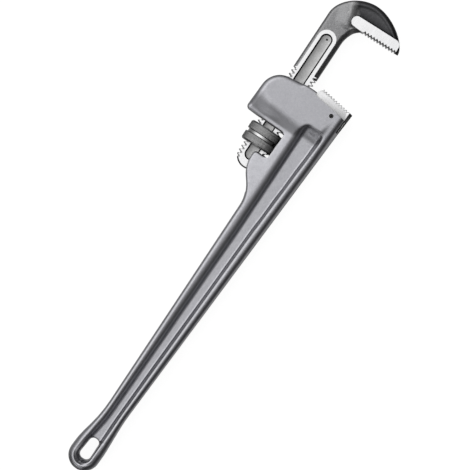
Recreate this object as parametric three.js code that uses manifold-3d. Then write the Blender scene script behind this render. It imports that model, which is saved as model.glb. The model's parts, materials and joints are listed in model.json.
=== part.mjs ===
// Heavy-duty pipe wrench with a cast I-section handle, lying flat with its jaws part open.
// x runs along the handle towards the jaws, y to the handle's back edge, z up through its thickness.
// Every outline is drawn from the nut's centre, and the finished wrench is then moved so that its
// origin is the middle of its footprint. Millimetres.
import * as THREE from 'three';
import { mergeVertices } from 'three/addons/utils/BufferGeometryUtils.js';
import Module from 'manifold-3d';

const wasm = await Module();
wasm.setup();

// ---------- Driving dimensions ----------

const GAP = 0.3;                      // left between faces that touch
const THROUGH = 100;                  // longer than any cut that goes right through in z
const BEYOND = 90;                    // x past the housing's end, for cuts that open there
const ARC_STEP = THREE.MathUtils.degToRad(15);
const SHORTEST_EDGE = 0.05;
const OVERLAP = 4;                    // by which two stretches of one piece run into each other
const REST_TILT = THREE.MathUtils.degToRad(2);   // the spring leans the hook jaw back by this much

// Handle casting
const RAIL_HALF = 14.5;               // half thickness of the rails and the cheek below the nut
const HOUSING_HALF = 20.8;            // half thickness of the housing around the hook jaw
const WEB_HALF = 5;                   // half thickness of the web between the rails
const RAIL_ROUND = 3.5;
const HOUSING_ROUND = 2.5;
const RAMP_START = 23;                // the face climbs from rail to housing level over this x range
const RAMP_END = 35;
const HANDLE_END_X = -410.6;
const HANDLE_END_ROUND = 17.4;
const WINDOW_LOW = -14.8;             // x of the window's wall below the nut
const WINDOW_HIGH = 16.7;             // x of the housing's lower face above the nut
const WINDOW_DEPTH_Y = -15.8;
const NUT_POCKET_RADIUS = 21.8;       // undercut beside the nut, below the window's rim
const FORK_START = -90;               // the slot between the cheeks that the shank's tail runs in
const FORK_FLOOR_Y = -18.6;
const SEAT_INNER = new THREE.Vector2(71.2, -19.3);   // heel jaw seat, from the hook jaw outwards
const SEAT_OUTER = new THREE.Vector2(66.3, -61.4);
const LIP_X = 50.4;                   // the heel jaw's lip wraps the front edge from here on
const LIP_Y = -63;

// Threaded shank, in the hook jaw's own frame
const PITCH = 4.7;
const THREAD_TURNS = 27;
const THREAD_START = -38;
const CREST_RADIUS = 15.05;
const ROOT_RADIUS = 12.1;
const THREAD_CLEARANCE = 0.4;
const SHANK_HALF = 7.4;               // half thickness between the milled flats
const TAIL_CENTRE = -21.4;            // centre of the rounded tail end
const THREAD_END = 86.9;
const CHANNEL_HALF = SHANK_HALF + 0.7;
const CHANNEL_BACK = 18.3;            // y of the channel's wall behind the shank
const CHANNEL_FRONT = -19.6;          // y of the channel's wall behind the flat spring

// Hook jaw
const SLOT_RADIUS = 6.8;              // the recess milled along each flat
const SLOT_DEPTH = 1.6;
const SLOT_TOP = 127.3;
const SLOT_OFFSET = 0.9;
const JAW_HALF = 12;                  // half thickness of the hook
const FORGING_ROUND = 3;
const HEAD_START = 145.5;             // the shank keeps its own thickness up to here
const HEAD_RAMP = 8;
const HEAD_BEND = 6;                  // radius where the ramp meets the hook's face

// Teeth
const TOOTH_DEPTH = 1.9;
const HOOK_TEETH = 11;
const HEEL_TEETH = 10;
const TIP_SHARE = 0.14;               // flat tip, as a share of the tooth pitch
const VALLEY_SHARE = 0.42;
const HEEL_HALF = 12.5;               // half thickness of the heel jaw
const TONGUE_HALF = 5;                // half thickness of its tongue, which the pin crosses
const TONGUE_SPAN = [17, 38];         // along the seat from its inner corner
const TONGUE_DEPTH = 14;

// Nut
const NUT_RADIUS = 20.2;
const NUT_HALF = 11.5;
const NUT_CHAMFER = 1.4;
const NUT_GROOVE_HALF = 1.7;
const NUT_GROOVE_DEPTH = 2.2;

// Heel jaw pin
const PIN_AT = new THREE.Vector2(62.1, -47.1);
const PIN_RADIUS = 2.2;
const PIN_BORE = 1.2;
const PIN_SLIT = 0.9;
const PIN_HALF = 17;

// Flat spring with its stud, and the coil spring behind it
const LEAF_NEAR = -15.45;             // y of the face that bears on the shank, in the jaw's frame
const LEAF_THICKNESS = 1.2;
const LEAF_HALF = 6;
const LEAF_START = 20;
const LEAF_END = 64;
const LEAF_FOOT = 3;
const LEAF_NOSE = 1.4;                // bend radius at the foot
const STUD_X = 50;
const STUD_HEAD = 3.2;                // radii of the stud's flush head, neck, shoulder and pilot
const STUD_NECK = 1.8;
const STUD_SHOULDER = 2.5;
const STUD_PILOT = 1.4;
const STUD_LENGTH = 6.5;
const COIL_X = 50.2;
const COIL_TOP = -15.4;
const COIL_BOTTOM = -32.7;
const COIL_RADIUS = 3.9;
const COIL_WIRE_RADIUS = 0.65;
const COIL_TURNS = 5;
const COIL_BORE_RADIUS = 5;
const COIL_BORE_BOTTOM = -33;

// ---------- Solids ----------

function solid(geometry) {
  const bare = geometry.clone();
  bare.deleteAttribute('normal');
  bare.deleteAttribute('uv');
  const merged = mergeVertices(bare, 1e-4);
  return new wasm.Manifold(new wasm.Mesh({
    numProp: 3,
    vertProperties: new Float32Array(merged.attributes.position.array),
    triVerts: new Uint32Array(merged.index.array),
  }));
}

function named(name, piece, material) {
  const { vertProperties, triVerts } = piece.getMesh();
  const geometry = new THREE.BufferGeometry();
  geometry.setAttribute('position', new THREE.BufferAttribute(new Float32Array(vertProperties), 3));
  geometry.setIndex(new THREE.BufferAttribute(new Uint32Array(triVerts), 1));
  geometry.computeVertexNormals();
  const mesh = new THREE.Mesh(geometry, material);
  mesh.name = name;
  return mesh;
}

function closed(points) {
  return new THREE.Shape(points.filter((point, i) => point.distanceTo(points.at(i - 1)) > SHORTEST_EDGE));
}

// A closed outline through corners [x, y, radius], each rounded to its own radius.
function outline(corners) {
  const at = corners.map(([x, y]) => new THREE.Vector2(x, y));
  const points = [];
  corners.forEach(([, , radius = 0], i) => {
    if (radius === 0) {
      points.push(at[i]);
      return;
    }
    const back = at.at(i - 1).clone().sub(at[i]).normalize();
    const on = at[(i + 1) % at.length].clone().sub(at[i]).normalize();
    const half = back.angleTo(on) / 2;
    const centre = back.clone().add(on).normalize().multiplyScalar(radius / Math.sin(half)).add(at[i]);
    const turn = Math.sign(on.cross(back)) * (Math.PI - 2 * half);
    const enter = at[i].clone().addScaledVector(back, radius / Math.tan(half));
    const steps = Math.ceil(Math.abs(turn) / ARC_STEP);
    for (let step = 0; step <= steps; step++) {
      points.push(enter.clone().rotateAround(centre, (turn * step) / steps));
    }
  });
  return closed(points);
}

// A plate of the given outline from -half to half in z, its edges rounded inside the outline.
function plate(shape, half, round = 0) {
  const geometry = new THREE.ExtrudeGeometry(shape, {
    depth: 2 * (half - round),
    bevelEnabled: round > 0,
    bevelThickness: round,
    bevelSize: round,
    bevelOffset: -round,
    bevelSegments: 2,
  });
  geometry.translate(0, 0, round - half);
  return solid(geometry);
}

// The same plate turned to stand along y: the outline's second coordinate becomes z.
function standing(shape) {
  return plate(shape, THROUGH).rotate([90, 0, 0]);
}

function block([x0, x1], [y0, y1], half) {
  const geometry = new THREE.BoxGeometry(x1 - x0, y1 - y0, 2 * half);
  geometry.translate((x0 + x1) / 2, (y0 + y1) / 2, 0);
  return solid(geometry);
}

// A solid of revolution about x through profile points [x, radius] that start and end on the axis.
function turnedAlongX(profile, segments) {
  const points = profile.map(([x, radius]) => new THREE.Vector2(radius, x));
  return solid(new THREE.LatheGeometry(points, segments)).rotate([0, 0, -90]);
}

function cylinderAlongY(radius, y0, y1, x, segments = 24) {
  const geometry = new THREE.CylinderGeometry(radius, radius, y1 - y0, segments);
  geometry.translate(x, (y0 + y1) / 2, 0);
  return solid(geometry);
}

function cylinderAlongZ(radius, half, centre, segments = 20) {
  const geometry = new THREE.CylinderGeometry(radius, radius, 2 * half, segments);
  geometry.rotateX(Math.PI / 2);
  geometry.translate(centre.x, centre.y, 0);
  return solid(geometry);
}

// A right-handed screw about x. One turn's profile is rows [fraction of the pitch, radius], and
// the grid leans with the helix, so that crests, flanks and roots are true screw surfaces.
function screw(rows, sides) {
  const positions = [];
  const index = [];
  const last = rows.length * THREAD_TURNS;
  for (let row = 0; row <= last; row++) {
    const [fraction, radius] = rows[row % rows.length];
    const turn = Math.floor(row / rows.length) + fraction;
    for (let side = 0; side < sides; side++) {
      const angle = (2 * Math.PI * side) / sides;
      const x = THREAD_START + PITCH * (turn + side / sides);
      positions.push(x, radius * Math.cos(angle), radius * Math.sin(angle));
    }
  }
  // Going once round lands one whole turn further along.
  const vertex = (row, side) => (side < sides ? row * sides + side : (row + rows.length) * sides);
  for (let row = 0; row < last; row++) {
    const wholeSides = row < last - rows.length ? sides : sides - 1;
    for (let side = 0; side < wholeSides; side++) {
      const [a, b] = [vertex(row, side), vertex(row, side + 1)];
      const [c, d] = [vertex(row + 1, side), vertex(row + 1, side + 1)];
      index.push(a, b, c, b, d, c);
    }
  }
  const around = (row) => Array.from({ length: sides }, (_, side) => vertex(row, side));
  const down = (row, side) => rows.map((_, i) => vertex(row - i, side));
  const cap = (rim, x) => {
    const centre = positions.length / 3;
    positions.push(x, 0, 0);
    rim.forEach((corner, i) => index.push(centre, corner, rim[(i + 1) % rim.length]));
  };
  cap([...around(0), ...down(rows.length, 0)].reverse(), THREAD_START);
  cap([...around(last), ...down(last - 1, sides - 1)], THREAD_START + PITCH * THREAD_TURNS);
  const geometry = new THREE.BufferGeometry();
  geometry.setAttribute('position', new THREE.Float32BufferAttribute(positions, 3));
  geometry.setIndex(index);
  return solid(geometry);
}

// A row of ratchet-shaped notches along a line of tooth tips, as a plate that cuts them out.
// inwards points from the tips into the jaw.
function toothCutter(from, to, inwards, count) {
  const shape = new THREE.Shape();
  const along = to.clone().sub(from);
  const into = inwards.clone().normalize();
  const point = (share, depth) => from.clone().addScaledVector(along, share).addScaledVector(into, depth);
  const corners = [];
  for (let tooth = 0; tooth < count; tooth++) {
    corners.push(point((tooth + TIP_SHARE) / count, 0));
    corners.push(point((tooth + VALLEY_SHARE) / count, TOOTH_DEPTH));
    corners.push(point((tooth + 1) / count, 0));
  }
  shape.setFromPoints([point(0, 0), ...corners, point(1, -TOOTH_DEPTH), point(0, -TOOTH_DEPTH)]);
  return plate(shape, THROUGH);
}

// ---------- Handle ----------

const handleOutline = outline([
  [74.9, -64.9, 4.5], [74.9, -10, 60], [67.9, 34.3, 20.5], [17.4, 34.3, 4.5], [WINDOW_HIGH, 4, 100],
  [WINDOW_HIGH, WINDOW_DEPTH_Y, 2.6], [WINDOW_LOW, WINDOW_DEPTH_Y, 4], [WINDOW_LOW, -0.7, 4.5],
  [-33.7, -0.7, 34], [-59.8, -21.8, 42], [-345, -31.6, 150], [-380, -25.2, 90],
  [HANDLE_END_X, -25.2, HANDLE_END_ROUND], [HANDLE_END_X, -60, HANDLE_END_ROUND], [-380, -60, 90],
  [-340, -56.9, 200],
]);

// The hollow between the rails, one on each face.
const pocketOutline = outline([
  [42, -31, 7], [42, -52.6, 7], [-97, -50.2, 300], [-330, -49.4, 300], [-372, -51.6, 60], [-402, -51.6, 8.6],
  [-402, -33.4, 8.6], [-378, -34.6, 60], [-345, -38.4, 100], [-97, -35.2, 300],
]);

const hangingSlotOutline = outline([
  [-397.2, -36.2, 5.6], [-397.2, -49.6, 5.6], [-370.3, -48.6, 4.8], [-370.3, -37.9, 4.8],
]);

// The handle's side profile: rails, the ramp up to the housing, and the housing.
const thicknessProfile = outline([
  [RAMP_START, -RAIL_HALF], [RAMP_END, -HOUSING_HALF], [BEYOND, -HOUSING_HALF],
  [BEYOND, HOUSING_HALF], [RAMP_END, HOUSING_HALF], [RAMP_START, RAIL_HALF],
]);

const seatDirection = SEAT_OUTER.clone().sub(SEAT_INNER).normalize();
const seatNormal = new THREE.Vector2(-seatDirection.y, seatDirection.x);

// A strip along the heel jaw's seat: distances run along the seat from its inner corner, and heights
// rise from the seat towards the teeth.
function seatStrip([start, end], [low, high], half) {
  const at = (distance, height) => SEAT_INNER.clone()
    .addScaledVector(seatDirection, distance).addScaledVector(seatNormal, height);
  const shape = new THREE.Shape([at(start, low), at(end, low), at(end, high), at(start, high)]);
  return plate(shape, half);
}

function makeHandle() {
  const beam = plate(handleOutline, RAIL_HALF, RAIL_ROUND);
  const housing = plate(handleOutline, HOUSING_HALF, HOUSING_ROUND).intersect(standing(thicknessProfile));
  const web = block([HANDLE_END_X, BEYOND], [-THROUGH, 0], WEB_HALF);
  const pockets = plate(pocketOutline, THROUGH).subtract(web);
  const channel = block([WINDOW_HIGH - 2, BEYOND], [CHANNEL_FRONT, CHANNEL_BACK], CHANNEL_HALF);
  const fork = block([FORK_START, WINDOW_LOW + 2], [FORK_FLOOR_Y, THROUGH], CHANNEL_HALF);
  const nutPocket = turnedAlongX([
    [WINDOW_LOW, 0], [WINDOW_LOW, NUT_POCKET_RADIUS], [WINDOW_HIGH, NUT_POCKET_RADIUS], [WINDOW_HIGH, 0],
  ], 48);
  const footNotch = block(
    [LEAF_START - 1.6, LEAF_START + 4], [CHANNEL_FRONT - LEAF_FOOT, CHANNEL_FRONT + 1], LEAF_HALF + 0.6,
  );
  const coilBore = cylinderAlongY(COIL_BORE_RADIUS, COIL_BORE_BOTTOM, CHANNEL_FRONT + 1, COIL_X);
  const [tongueStart, tongueEnd] = TONGUE_SPAN;
  const tongueSlot = seatStrip(
    [tongueStart - 0.4, tongueEnd + 0.4], [-TONGUE_DEPTH - 0.4, TONGUE_DEPTH], TONGUE_HALF + GAP,
  );
  const pinHole = cylinderAlongZ(PIN_RADIUS + GAP, THROUGH, PIN_AT);
  const seat = seatStrip([0, THROUGH], [0, THROUGH], THROUGH);
  const lipRecess = block([LIP_X, BEYOND], [-THROUGH, LIP_Y], THROUGH);
  return beam.add(housing)
    .subtract(pockets).subtract(seat).subtract(lipRecess)
    .subtract(plate(hangingSlotOutline, THROUGH))
    .subtract(channel).subtract(fork).subtract(nutPocket).subtract(footNotch)
    .subtract(coilBore).subtract(tongueSlot).subtract(pinHole);
}

// ---------- Heel jaw and its pin ----------

const HEEL_TIP_INNER = new THREE.Vector2(81.7, -24.4);
const HEEL_TIP_OUTER = new THREE.Vector2(77.4, -60.6);

const heelOutline = outline([
  [71.6, -19.9], [76.4, -19.9, 1], [HEEL_TIP_INNER.x, HEEL_TIP_INNER.y, 0.4],
  [HEEL_TIP_OUTER.x, HEEL_TIP_OUTER.y], [76.9, -62.4, 0.6], [76.1, -66.2, 0.8],
  [LIP_X + 0.4, -64.6], [LIP_X + 0.4, LIP_Y - GAP], [SEAT_OUTER.x + 0.1, LIP_Y - GAP],
]);

function makeHeelJaw() {
  const body = plate(heelOutline, HEEL_HALF);
  const tongue = seatStrip(TONGUE_SPAN, [-TONGUE_DEPTH, TOOTH_DEPTH], TONGUE_HALF);
  const teeth = toothCutter(HEEL_TIP_INNER, HEEL_TIP_OUTER, seatNormal.clone().negate(), HEEL_TEETH);
  return body.add(tongue).subtract(teeth).subtract(cylinderAlongZ(PIN_RADIUS + GAP, THROUGH, PIN_AT));
}

// A rolled pin: a tube slit along its length.
function makeHeelJawPin() {
  const slit = block([0, 2 * PIN_RADIUS], [-PIN_SLIT / 2, PIN_SLIT / 2], THROUGH);
  const centre = new THREE.Vector2(0, 0);
  return cylinderAlongZ(PIN_RADIUS, PIN_HALF, centre, 24)
    .subtract(cylinderAlongZ(PIN_BORE, THROUGH, centre, 24))
    .subtract(slit);
}

// ---------- Hook jaw, in its own frame: x along the shank from the nut ----------

const THREAD_SIDES = 30;

// One turn of the thread, as [fraction of the pitch, radius].
const threadRows = [[0, CREST_RADIUS], [0.2, CREST_RADIUS], [0.45, ROOT_RADIUS], [0.75, ROOT_RADIUS]];

const HOOK_TIP_INNER = new THREE.Vector2(155.7, -28);
const HOOK_TIP_OUTER = new THREE.Vector2(156.5, -69.5);

// The forging seen from above, from the end of the thread to the jaw's tip.
function hookOutline() {
  const shape = new THREE.Shape();
  shape.moveTo(THREAD_END - 3, -14.6);
  shape.lineTo(132, -14.9);
  shape.bezierCurveTo(143, -14.9, 152, -20, 155.7, -27);
  shape.lineTo(156.6, -72.6);
  shape.bezierCurveTo(171.5, -72.6, 188.4, -48, 188.4, -26.5);
  shape.bezierCurveTo(188.4, -6.2, 171.3, 14.3, 154.2, 14.3);
  shape.lineTo(THREAD_END - 3, 14.3);
  return closed(shape.getPoints(10));
}

// Side profile of the forging: the ramp up from the shank, and the thicker hook.
const headProfile = outline([
  [HEAD_START, -SHANK_HALF + 1], [HEAD_START + HEAD_RAMP, -JAW_HALF, HEAD_BEND], [2 * HEAD_START, -JAW_HALF],
  [2 * HEAD_START, JAW_HALF], [HEAD_START + HEAD_RAMP, JAW_HALF, HEAD_BEND], [HEAD_START, SHANK_HALF - 1],
]);

const jawBlockOutline = outline([
  [HOOK_TIP_INNER.x, -21], [HOOK_TIP_OUTER.x, HOOK_TIP_OUTER.y, 0.5], [169.9, -69.5, 6.2],
  [168.6, -9.8, 6.2], [157, -9.8, 5],
]);

function makeHookJaw() {
  const flatBar = plate(outline([
    [TAIL_CENTRE - CREST_RADIUS, -CREST_RADIUS, CREST_RADIUS], [THREAD_END, -CREST_RADIUS],
    [THREAD_END, CREST_RADIUS], [TAIL_CENTRE - CREST_RADIUS, CREST_RADIUS, CREST_RADIUS],
  ]), SHANK_HALF);
  const thread = screw(threadRows, THREAD_SIDES).intersect(flatBar);
  const forging = plate(hookOutline(), JAW_HALF, FORGING_ROUND);
  const plainBar = block([THREAD_END - OVERLAP, HEAD_START + OVERLAP], [-THROUGH, THROUGH], SHANK_HALF);
  const shank = forging.intersect(plainBar);
  const head = forging.intersect(standing(headProfile));
  const jawBlock = plate(jawBlockOutline, JAW_HALF);
  const recessOutline = outline([
    [TAIL_CENTRE - SLOT_RADIUS, SLOT_OFFSET - SLOT_RADIUS, SLOT_RADIUS],
    [SLOT_TOP + SLOT_RADIUS, SLOT_OFFSET - SLOT_RADIUS, SLOT_RADIUS],
    [SLOT_TOP + SLOT_RADIUS, SLOT_OFFSET + SLOT_RADIUS, SLOT_RADIUS],
    [TAIL_CENTRE - SLOT_RADIUS, SLOT_OFFSET + SLOT_RADIUS, SLOT_RADIUS],
  ]);
  const core = block([-THROUGH, 2 * HEAD_START], [-THROUGH, THROUGH], SHANK_HALF - SLOT_DEPTH);
  const recess = plate(recessOutline, THROUGH).subtract(core);
  const teeth = toothCutter(HOOK_TIP_INNER, HOOK_TIP_OUTER, new THREE.Vector2(1, 0), HOOK_TEETH);
  return thread.add(shank).add(head).add(jawBlock).subtract(recess).subtract(teeth);
}

// ---------- Nut ----------

function makeNut() {
  const body = turnedAlongX([
    [-NUT_HALF, 0], [-NUT_HALF, NUT_RADIUS - NUT_CHAMFER], [-NUT_HALF + NUT_CHAMFER, NUT_RADIUS],
    [-NUT_GROOVE_HALF, NUT_RADIUS], [-NUT_GROOVE_HALF, NUT_RADIUS - NUT_GROOVE_DEPTH],
    [NUT_GROOVE_HALF, NUT_RADIUS - NUT_GROOVE_DEPTH], [NUT_GROOVE_HALF, NUT_RADIUS],
    [NUT_HALF - NUT_CHAMFER, NUT_RADIUS], [NUT_HALF, NUT_RADIUS - NUT_CHAMFER], [NUT_HALF, 0],
  ], 48);
  const slack = THREAD_CLEARANCE / PITCH;
  const wider = [-slack, slack, slack, -slack];
  const female = threadRows.map(([fraction, radius], i) => [fraction + wider[i], radius + THREAD_CLEARANCE]);
  return body.subtract(screw(female, THREAD_SIDES));
}

// ---------- Springs ----------

function makeFlatSpring() {
  const far = LEAF_NEAR - LEAF_THICKNESS;
  const profile = outline([
    [LEAF_START, LEAF_NEAR, LEAF_NOSE], [LEAF_START, far - LEAF_FOOT],
    [LEAF_START + LEAF_THICKNESS, far - LEAF_FOOT], [LEAF_START + LEAF_THICKNESS, far, LEAF_NOSE - 1],
    [LEAF_END, far], [LEAF_END, LEAF_NEAR],
  ]);
  return plate(profile, LEAF_HALF).subtract(studBore());
}

// The stud is riveted flush into the flat spring, and its pilot centres the coil.
const studHead = LEAF_NEAR - 0.05;    // y of its flush face
const studNeck = LEAF_NEAR - 0.9;
const studShoulder = LEAF_NEAR - 1.5;

function turnedAlongY(profile, x, segments = 20) {
  const points = profile.map(([y, radius]) => new THREE.Vector2(radius, y));
  return solid(new THREE.LatheGeometry(points, segments)).translate([x, 0, 0]);
}

function makeStud() {
  const tip = studShoulder - STUD_LENGTH;
  const seat = studShoulder - 1.1;
  return turnedAlongY([
    [tip, 0], [tip, STUD_PILOT - 0.4], [tip + 0.6, STUD_PILOT], [seat, STUD_PILOT], [seat, STUD_SHOULDER],
    [studShoulder, STUD_SHOULDER], [studShoulder, STUD_NECK], [studNeck, STUD_NECK], [studHead, STUD_HEAD],
    [studHead, 0],
  ], STUD_X);
}

function studBore() {
  return turnedAlongY([
    [studShoulder - 1, 0], [studShoulder - 1, STUD_NECK + GAP], [studNeck - GAP, STUD_NECK + GAP],
    [studHead, STUD_HEAD + GAP], [studHead + 1, STUD_HEAD + GAP], [studHead + 1, 0],
  ], STUD_X);
}

class Coil extends THREE.Curve {
  getPoint(share, target = new THREE.Vector3()) {
    const angle = 2 * Math.PI * COIL_TURNS * share;
    const low = COIL_BOTTOM + COIL_WIRE_RADIUS;
    const high = COIL_TOP - COIL_WIRE_RADIUS;
    const y = low + (high - low) * share;
    return target.set(COIL_RADIUS * Math.cos(angle), y, COIL_RADIUS * Math.sin(angle));
  }
}

function makeCoilSpring() {
  const section = new THREE.Shape().absarc(0, 0, COIL_WIRE_RADIUS, 0, 2 * Math.PI);
  const wire = new THREE.ExtrudeGeometry(section, {
    steps: COIL_TURNS * 10, curveSegments: 3, extrudePath: new Coil(),
  });
  return solid(wire).translate([COIL_X, 0, 0]);
}

// ---------- Assembly ----------

function finish(color, roughness, metalness) {
  return new THREE.MeshStandardMaterial({ color, roughness, metalness });
}

const wrench = new THREE.Group();
wrench.add(
  named('handle', makeHandle(), finish(0xa9a9ae, 0.5, 0.9)),
  named('heel_jaw', makeHeelJaw(), finish(0xdadadc, 0.35, 1)),
  named('coil_spring', makeCoilSpring(), finish(0x77777a, 0.35, 1)),
);

const pin = named('heel_jaw_pin', makeHeelJawPin(), finish(0x606064, 0.4, 1));
pin.position.set(PIN_AT.x, PIN_AT.y, 0);
wrench.add(pin);

// The hook jaw, its nut and the spring leaf that leans them back rock together about the nut.
const rocker = new THREE.Group();
rocker.rotation.z = REST_TILT;
rocker.add(
  named('hook_jaw', makeHookJaw(), finish(0x4c4c4e, 0.45, 0.9)),
  named('adjusting_nut', makeNut(), finish(0x6a6a6d, 0.35, 1)),
  named('flat_spring', makeFlatSpring(), finish(0x88888c, 0.3, 1)),
  named('spring_stud', makeStud(), finish(0x9a9a9d, 0.35, 1)),
);
wrench.add(rocker);

const part = new THREE.Group();
part.add(wrench);
part.updateMatrixWorld(true);
const extent = new THREE.Box3().setFromObject(part, true);
const middle = extent.getCenter(new THREE.Vector3());
wrench.position.set(-middle.x, -middle.y, -extent.min.z);

export default part;
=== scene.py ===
"""The looks of the pipe wrench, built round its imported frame.

Shapes are drawn in millimetres from the nut's centre: x along the handle (or, for the hook jaw, along
its own shank), y to the handle's back edge, z up from the middle of the thickness.
"""

import json
import math

import bmesh
import bpy
import numpy as np
import openvdb
from mathutils import Matrix, Vector


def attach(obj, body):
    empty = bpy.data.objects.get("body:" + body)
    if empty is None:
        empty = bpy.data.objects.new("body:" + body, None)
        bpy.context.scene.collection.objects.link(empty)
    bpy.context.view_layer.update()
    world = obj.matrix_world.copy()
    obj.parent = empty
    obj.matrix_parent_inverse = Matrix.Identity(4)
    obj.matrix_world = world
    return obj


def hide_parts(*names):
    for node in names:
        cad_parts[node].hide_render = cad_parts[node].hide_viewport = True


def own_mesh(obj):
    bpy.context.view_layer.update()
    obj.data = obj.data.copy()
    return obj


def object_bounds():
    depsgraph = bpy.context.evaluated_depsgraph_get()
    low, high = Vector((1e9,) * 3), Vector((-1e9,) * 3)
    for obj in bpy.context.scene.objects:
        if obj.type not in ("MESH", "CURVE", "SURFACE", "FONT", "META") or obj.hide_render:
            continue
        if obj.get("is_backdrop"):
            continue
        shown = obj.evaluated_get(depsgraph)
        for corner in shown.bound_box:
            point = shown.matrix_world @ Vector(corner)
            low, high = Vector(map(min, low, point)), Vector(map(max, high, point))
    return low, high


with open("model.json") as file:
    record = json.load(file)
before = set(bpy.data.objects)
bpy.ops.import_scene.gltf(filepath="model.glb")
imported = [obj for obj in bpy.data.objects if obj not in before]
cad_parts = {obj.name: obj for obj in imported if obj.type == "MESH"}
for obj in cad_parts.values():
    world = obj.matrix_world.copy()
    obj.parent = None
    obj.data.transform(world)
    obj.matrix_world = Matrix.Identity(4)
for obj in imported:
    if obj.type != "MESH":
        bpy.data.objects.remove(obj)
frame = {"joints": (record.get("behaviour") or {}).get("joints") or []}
cad_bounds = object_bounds()

# ---------- The frame ----------

MM = 0.001
joints = {joint["name"]: joint for joint in frame["joints"]}
nut_centre = Vector(joints["jaw_rock"]["pos_m"])
shank_axis = Vector(joints["jaw_slide"]["axis"])
HANDLE_FRAME = Matrix.Translation(nut_centre) @ Matrix.Scale(MM, 4)
JAW_FRAME = (
    Matrix.Translation(nut_centre)
    @ Matrix.Rotation(math.atan2(shank_axis.y, shank_axis.x), 4, "Z")
    @ Matrix.Scale(MM, 4)
)

# ---------- Driving dimensions, in millimetres ----------

THROUGH = 100          # longer than any cut
ARC_STEP = 6           # degrees between the points of a rounded corner
CURVE_STEPS = 24       # points along a Bezier stretch of an outline
SLIVER = 0.001         # faces thinner than this are closed up
BEVEL_ANGLE = 40       # degrees from which an edge of a machined piece is rounded
GAP = 0.3              # left around a piece that sits in a hole or slot

RAIL_HALF = 14.5       # half thickness at the rails
HOUSING_HALF = 20.8    # and at the housing around the hook jaw
WEB_HALF = 6.5         # half thickness of the web between the rails
WALL_DRAFT = 0.03      # the casting narrows by this much for each mm from its parting line
FRONT_DRAFT = 0.2      # and by this much along the front of the housing
FLASH = 0.3            # height of the parting line's ridge
SWELL = 0.35           # what the parting line stands out from the outline
WINDOW_LOW, WINDOW_HIGH = -14.8, 16.7
NUT_POCKET_RADIUS = 21.8
CHANNEL_HALF = 8.1
CHANNEL_BACK, CHANNEL_FRONT = 18.3, -19.6
FORK_START, FORK_FLOOR = -90, -18.6
SEAT_INNER, SEAT_OUTER = np.array([71.2, -19.3]), np.array([66.3, -61.4])
LIP_X, LIP_Y = 50.4, -63
COIL_X, COIL_BORE_RADIUS, COIL_BORE_BOTTOM = 50.2, 5, -33

PITCH = 4.7
THREAD_TURNS = 27
THREAD_SIDES = 96
THREAD_START, THREAD_END = -38, 86.9
CREST_RADIUS, ROOT_RADIUS = 15.05, 12.1
THREAD_CLEARANCE = 0.4
SHANK_HALF = 7.4
TAIL_CENTRE = -21.4
TAIL_EXTRA = 1.4       # by which the rounded tail reaches past a circle about its centre
LAND_RADIUS = 10.65    # the bright milled land around the recess
SLOT_RADIUS, SLOT_DEPTH, SLOT_TOP, SLOT_OFFSET = 6.8, 1.6, 127.3, 0.9
JAW_HALF = 12
HEEL_HALF = 12.5
TONGUE_SPAN, TONGUE_DEPTH, TONGUE_HALF = (17, 38), 14, 5
HOOK_TEETH, HEEL_TEETH = 11, 10
TOOTH_DEPTH = 1.9
TOOTH_BEVEL = 0.7      # at both ends of each tooth

NUT_RADIUS, NUT_HALF, NUT_CHAMFER = 20.2, 11.5, 1.4
NUT_GROOVE_HALF, NUT_GROOVE_DEPTH = 1.7, 2.2
KNURL_TEETH, KNURL_DEPTH, KNURL_LEAD = 66, 0.5, 1.9
KNURL_STEPS = 6        # points across each tooth of the knurl

PIN_AT = np.array([62.1, -47.1])
PIN_RADIUS, PIN_BORE, PIN_SLIT, PIN_HALF = 2.2, 0.9, 0.6, 17

LEAF_NEAR, LEAF_THICKNESS, LEAF_HALF = -15.45, 1.2, 6
LEAF_START, LEAF_END, LEAF_FOOT = 20, 64, 3
STUD_X = 50
COIL_TOP, COIL_BOTTOM, COIL_RADIUS, WIRE_RADIUS, COIL_TURNS = -15.4, -32.7, 3.9, 0.65, 5

# ---------- Materials ----------


class Nodes:
    """A short way to wire a node tree: each method adds a node and returns its output."""

    def __init__(self, tree):
        self.tree = tree

    def add(self, kind, inputs=(), output=0, **settings):
        node = self.tree.nodes.new(kind)
        for key, value in settings.items():
            setattr(node, key, value)
        for key, value in dict(inputs).items():
            if isinstance(value, bpy.types.NodeSocket):
                self.tree.links.new(value, node.inputs[key])
            else:
                node.inputs[key].default_value = value
        return node.outputs[output]

    def noise(self, where, scale, detail=2, roughness=0.5):
        inputs = {"Vector": where, "Scale": scale, "Detail": detail, "Roughness": roughness}
        return self.add("ShaderNodeTexNoise", inputs)

    def remap(self, value, low, high, to_low=0.0, to_high=1.0, smooth=False):
        inputs = {0: value, 1: low, 2: high, 3: to_low, 4: to_high}
        kind = "SMOOTHSTEP" if smooth else "LINEAR"
        return self.add("ShaderNodeMapRange", inputs, interpolation_type=kind)

    def math(self, operation, a, b=0.0):
        return self.add("ShaderNodeMath", {0: a, 1: b}, operation=operation)

    def mix(self, share, a, b):
        return self.add("ShaderNodeMix", {0: share, 6: a, 7: b}, output=2, data_type="RGBA")

    def bump(self, height, strength, distance, normal=None):
        inputs = {"Height": height, "Strength": strength, "Distance": distance}
        if normal is not None:
            inputs["Normal"] = normal
        return self.add("ShaderNodeBump", inputs)

    def object_place(self):
        return self.add("ShaderNodeTexCoord", output=3)

    def stretched(self, where, scale, angle=0.0):
        inputs = {"Vector": where, "Scale": scale, "Rotation": (0, 0, angle)}
        return self.add("ShaderNodeMapping", inputs)


def grey(level, tint=1.0):
    return (level, level, level * tint, 1)


def new_metal(name):
    """A metal with its own node tree, and the shader node to wire its colour, roughness and bump to."""
    material = bpy.data.materials.new(name)
    material.use_nodes = True
    shader = material.node_tree.nodes["Principled BSDF"]
    shader.inputs["Metallic"].default_value = 1.0
    return material, Nodes(material.node_tree), shader


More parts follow.
